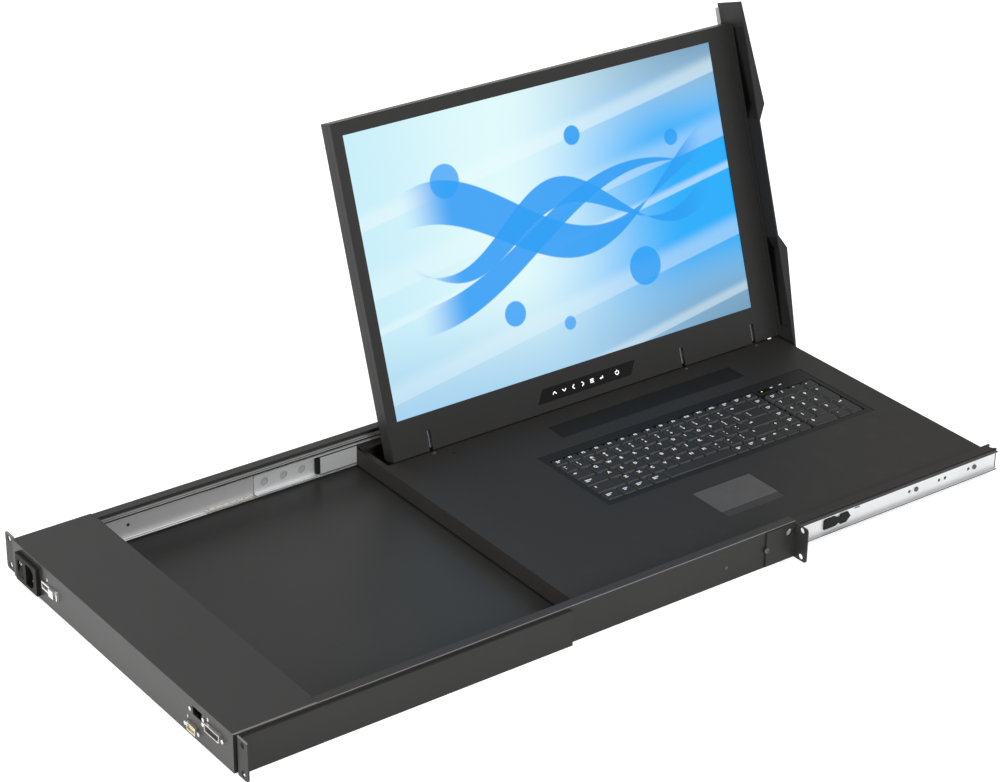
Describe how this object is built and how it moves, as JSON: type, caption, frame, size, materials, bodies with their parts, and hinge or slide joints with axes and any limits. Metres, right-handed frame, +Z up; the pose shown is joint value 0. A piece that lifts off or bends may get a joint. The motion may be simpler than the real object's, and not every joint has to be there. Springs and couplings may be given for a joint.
{
  "type": "rackmount lcd console drawer",
  "caption": "Shallow rack drawer on ball slides with a keyboard, touchpad and hinged flat screen, shown pulled out with the screen raised.",
  "frame": {"origin": "centre of the four front rack holes, in the front ears' front face", "axes": "+X the way the drawer slides out, -Y the operator's side, +Z up"},
  "size_m": [1.024, 0.5437, 0.4203],
  "materials": {
    "black_coat": "black powder coat on folded steel sheet, fine texture, semi-gloss",
    "zinc_steel": "bright zinc-plated steel",
    "bright_steel": "nickel-plated screws, pins and balls",
    "dark_steel": "black zinc-plated screws",
    "port_metal": "tinned connector shell",
    "black_plastic": "matt black moulding",
    "key_plastic": "finely textured black key caps",
    "grey_plastic": "satin dark grey touch surface",
    "gloss_black": "glossy touch strip",
    "screen": "lit colour screen behind a hard anti-glare film",
    "led_lens": "smoked lens over status lights",
    "circuit_board": "green solder resist"
  },
  "bodies": {
    "rack": {"chassis_pan": "black_coat", "rear_panel": "black_coat", "rear_cover": "black_coat", "front_ear_near": "black_coat", "front_ear_far": "black_coat", "outer_rail_near": "zinc_steel", "outer_rail_far": "zinc_steel", "ear_screws": "dark_steel", "bracket_screws": "bright_steel", "outer_rail_screws": "dark_steel", "power_inlet": "black_plastic", "inlet_pins": "bright_steel", "vga_port": "port_metal", "console_port": "port_metal", "service_port": "port_metal", "port_standoffs": "bright_steel", "power_supply": "zinc_steel", "interface_board": "circuit_board"},
    "drawer": {"drawer_tray": "black_coat", "drawer_end_walls": "black_coat", "keyboard_deck": "black_coat", "accessory_strip": "black_plastic", "touchpad": "grey_plastic", "keyboard_frame": "black_plastic", "led_window": "led_lens", "hinge_arms": "black_coat", "hinge_screws": "bright_steel", "inner_rail_near": "zinc_steel", "inner_rail_far": "zinc_steel", "inner_rail_screws": "dark_steel", "tail_stops": "black_plastic"},
    "display": {"display_back": "black_coat", "display_bezel": "black_coat", "lcd_panel": "screen", "driver_board": "circuit_board", "control_panel": "gloss_black", "hinge_blocks": "zinc_steel", "hinge_pins": "bright_steel", "front_panel": "black_coat", "panel_flanges": "zinc_steel", "panel_screws": "bright_steel"},
    "mid_near": {"mid_rail_near": "zinc_steel"},
    "cage_near": {"ball_cage_near": "bright_steel"},
    "bracket_near": {"rear_bracket_near": "black_coat"},
    "lever_near": {"release_lever_near": "black_plastic"},
    "mid_far": {"mid_rail_far": "zinc_steel"},
    "cage_far": {"ball_cage_far": "bright_steel"},
    "bracket_far": {"rear_bracket_far": "black_coat"},
    "lever_far": {"release_lever_far": "black_plastic"},
    "rocker": {"power_rocker": "black_plastic"},
    "keys_control_row_body": {"keys_control_row": "key_plastic"},
    "keys_function_row_body": {"keys_function_row": "key_plastic"},
    "keys_home_row_body": {"keys_home_row": "key_plastic"},
    "keys_number_pad_body": {"keys_number_pad": "key_plastic"},
    "keys_number_row_body": {"keys_number_row": "key_plastic"},
    "keys_shift_row_body": {"keys_shift_row": "key_plastic"},
    "keys_top_row_body": {"keys_top_row": "key_plastic"},
    "space_bar_body": {"space_bar": "key_plastic"},
    "touch_left": {"touch_button_left": "black_plastic"},
    "touch_right": {"touch_button_right": "black_plastic"}
  },
  "joints": [
    {"name": "drawer_slide", "type": "slide", "parent": "rack", "child": "drawer", "axis": [1, 0, 0], "range_m": [-0.311, 0]},
    {"name": "display_hinge", "type": "hinge", "parent": "drawer", "child": "display", "pos_m": [0.027, 0.1758, 0.01715], "axis": [1, 0, 0], "range_deg": [0, 108.3]},
    {"name": "mid_rail_near_slide", "type": "slide", "parent": "rack", "child": "mid_near", "axis": [1, 0, 0], "range_m": [-0.1555, 0]},
    {"name": "ball_cage_near_slide", "type": "slide", "parent": "rack", "child": "cage_near", "axis": [1, 0, 0], "range_m": [-0.07775, 0]},
    {"name": "rear_bracket_near_slide", "type": "slide", "parent": "rack", "child": "bracket_near", "axis": [1, 0, 0], "range_m": [-0.1, 0]},
    {"name": "release_lever_near_pivot", "type": "hinge", "parent": "drawer", "child": "lever_near", "pos_m": [0.053, -0.2116, -0.00415], "axis": [0, -1, 0], "range_deg": [0, 4], "stiffness_Nm_per_rad": 0.4, "springref_deg": -17.19},
    {"name": "mid_rail_far_slide", "type": "slide", "parent": "rack", "child": "mid_far", "axis": [1, 0, 0], "range_m": [-0.1555, 0]},
    {"name": "ball_cage_far_slide", "type": "slide", "parent": "rack", "child": "cage_far", "axis": [1, 0, 0], "range_m": [-0.07775, 0]},
    {"name": "rear_bracket_far_slide", "type": "slide", "parent": "rack", "child": "bracket_far", "axis": [1, 0, 0], "range_m": [-0.1, 0]},
    {"name": "release_lever_far_pivot", "type": "hinge", "parent": "drawer", "child": "lever_far", "pos_m": [0.053, 0.2116, -0.00415], "axis": [0, -1, 0], "range_deg": [0, 4], "stiffness_Nm_per_rad": 0.4, "springref_deg": -17.19},
    {"name": "power_rocker_tilt", "type": "hinge", "parent": "rack", "child": "rocker", "pos_m": [-0.6959, 0.1962, -0.00125], "axis": [0, -1, 0], "range_deg": [0, 16]},
    {"name": "keys_control_row_travel", "type": "slide", "parent": "drawer", "child": "keys_control_row_body", "axis": [0, 0, -1], "range_m": [0, 0.002], "stiffness_N_per_m": 900, "springref_m": -0.002},
    {"name": "keys_function_row_travel", "type": "slide", "parent": "drawer", "child": "keys_function_row_body", "axis": [0, 0, -1], "range_m": [0, 0.002], "stiffness_N_per_m": 900, "springref_m": -0.002},
    {"name": "keys_home_row_travel", "type": "slide", "parent": "drawer", "child": "keys_home_row_body", "axis": [0, 0, -1], "range_m": [0, 0.002], "stiffness_N_per_m": 900, "springref_m": -0.002},
    {"name": "keys_number_pad_travel", "type": "slide", "parent": "drawer", "child": "keys_number_pad_body", "axis": [0, 0, -1], "range_m": [0, 0.002], "stiffness_N_per_m": 900, "springref_m": -0.002},
    {"name": "keys_number_row_travel", "type": "slide", "parent": "drawer", "child": "keys_number_row_body", "axis": [0, 0, -1], "range_m": [0, 0.002], "stiffness_N_per_m": 900, "springref_m": -0.002},
    {"name": "keys_shift_row_travel", "type": "slide", "parent": "drawer", "child": "keys_shift_row_body", "axis": [0, 0, -1], "range_m": [0, 0.002], "stiffness_N_per_m": 900, "springref_m": -0.002},
    {"name": "keys_top_row_travel", "type": "slide", "parent": "drawer", "child": "keys_top_row_body", "axis": [0, 0, -1], "range_m": [0, 0.002], "stiffness_N_per_m": 900, "springref_m": -0.002},
    {"name": "space_bar_travel", "type": "slide", "parent": "drawer", "child": "space_bar_body", "axis": [0, 0, -1], "range_m": [0, 0.002], "stiffness_N_per_m": 900, "springref_m": -0.002},
    {"name": "touch_button_left_travel", "type": "slide", "parent": "drawer", "child": "touch_left", "axis": [0, 0, -1], "range_m": [0, 0.0005], "stiffness_N_per_m": 1500, "springref_m": -0.0005},
    {"name": "touch_button_right_travel", "type": "slide", "parent": "drawer", "child": "touch_right", "axis": [0, 0, -1], "range_m": [0, 0.0005], "stiffness_N_per_m": 1500, "springref_m": -0.0005}
  ],
  "couplings": [
    {"joint": "mid_rail_near_slide", "follows": "drawer_slide", "ratio": 0.5},
    {"joint": "ball_cage_near_slide", "follows": "drawer_slide", "ratio": 0.25},
    {"joint": "mid_rail_far_slide", "follows": "drawer_slide", "ratio": 0.5},
    {"joint": "ball_cage_far_slide", "follows": "drawer_slide", "ratio": 0.25}
  ]
}
